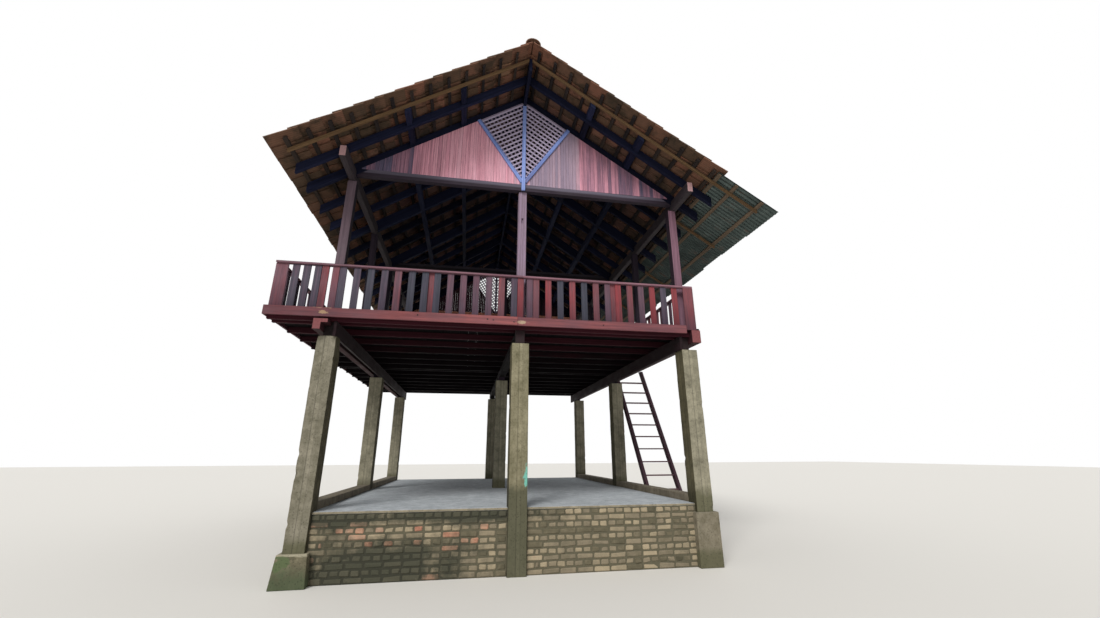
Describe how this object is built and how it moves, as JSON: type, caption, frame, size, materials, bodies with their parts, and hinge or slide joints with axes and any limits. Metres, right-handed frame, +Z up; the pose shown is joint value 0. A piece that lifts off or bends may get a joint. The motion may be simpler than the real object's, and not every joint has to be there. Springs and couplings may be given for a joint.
{
  "type": "stilt house",
  "caption": "Open-sided timber stilt house on concrete columns over a brick plinth, with a railed floor, a side ladder, a tiled gable roof and a latticed gable.",
  "frame": {"origin": "on the ground at the foot of the plinth, under the centre of the middle column, midway between the side columns and midway from the front row to the rear row", "axes": "+X to the right seen from the front, +Y from the front gable to the rear gable along the ridge, +Z up"},
  "size_m": [7.316, 9.4, 7.6416],
  "materials": {
    "brick_plinth": "weathered buff and red brickwork with cement joints",
    "floor_slab": "pale grey cement screed, worn",
    "slab_kerbs": "grey cement kerb, worn",
    "front_left_footing": "rough stained concrete",
    "front_right_pad": "rough stained concrete",
    "columns": "cast concrete, weathered and stained",
    "posts": "weathered brown hardwood, sawn",
    "left_edge_beam": "stained red-brown hardwood, weathered",
    "centre_beam": "dark brown hardwood, sawn",
    "right_edge_beam": "stained red-brown hardwood, weathered",
    "floor_joists": "dark red-brown hardwood, sawn",
    "floor_deck": "dark hardwood boards",
    "edge_boards": "stained red-brown hardwood, weathered",
    "front_balustrade": "stained red-brown hardwood, weathered",
    "left_balustrade": "stained red-brown hardwood, weathered",
    "right_balustrade": "stained red-brown hardwood, weathered",
    "rear_balustrade": "stained red-brown hardwood, weathered",
    "left_wall_plate": "dark hardwood, sawn",
    "right_wall_plate": "dark hardwood, sawn",
    "tie_beams": "dark grey-brown hardwood, sawn",
    "ridge_board": "dark hardwood, sawn",
    "left_rafters": "near-black weathered hardwood",
    "right_rafters": "near-black weathered hardwood",
    "left_purlins": "dark hardwood, sawn",
    "right_purlins": "dark hardwood, sawn",
    "verge_rafters": "light brown timber, weathered",
    "left_battens": "brown softwood battens, weathered",
    "right_battens": "brown softwood battens, weathered",
    "left_roof_tiles": "dull clay tiles, mossy and stained",
    "right_roof_tiles": "dull clay tiles, mossy and stained",
    "ridge_cap": "dull clay ridge tiles",
    "right_eave_sheets": "dull grey corrugated metal sheets",
    "front_gable_boards": "red-brown hardwood boards, weathered",
    "rear_gable_boards": "red-brown hardwood boards, weathered",
    "front_lattice": "pinkish grey hardwood laths, weathered",
    "rear_lattice": "pinkish grey hardwood laths, weathered",
    "gable_strips": "worn blue painted timber",
    "ladder": "dark red-brown timber, worn"
  },
  "bodies": {
    "root": {"brick_plinth": "brick_plinth", "floor_slab": "floor_slab", "slab_kerbs": "slab_kerbs", "front_left_footing": "front_left_footing", "front_right_pad": "front_right_pad", "column_front_left": "columns", "column_front_centre": "columns", "column_front_right": "columns", "column_mid_left": "columns", "column_mid_centre": "columns", "column_mid_right": "columns", "column_rear_left": "columns", "column_rear_centre": "columns", "column_rear_right": "columns", "front_posts": "posts", "mid_posts": "posts", "rear_posts": "posts", "bay_posts": "posts", "left_edge_beam": "left_edge_beam", "centre_beam": "centre_beam", "right_edge_beam": "right_edge_beam", "floor_joists": "floor_joists", "floor_deck": "floor_deck", "edge_boards": "edge_boards", "front_balustrade": "front_balustrade", "left_balustrade": "left_balustrade", "right_balustrade": "right_balustrade", "rear_balustrade": "rear_balustrade", "left_wall_plate": "left_wall_plate", "right_wall_plate": "right_wall_plate", "tie_beams": "tie_beams", "ridge_board": "ridge_board", "left_rafters": "left_rafters", "right_rafters": "right_rafters", "left_purlins": "left_purlins", "right_purlins": "right_purlins", "verge_rafters": "verge_rafters", "left_battens": "left_battens", "right_battens": "right_battens", "left_roof_tiles": "left_roof_tiles", "right_roof_tiles": "right_roof_tiles", "ridge_cap": "ridge_cap", "right_eave_sheets": "right_eave_sheets", "front_gable_boards": "front_gable_boards", "rear_gable_boards": "rear_gable_boards", "front_lattice": "front_lattice", "rear_lattice": "rear_lattice", "gable_strips": "gable_strips", "ladder": "ladder"}
  },
  "joints": []
}
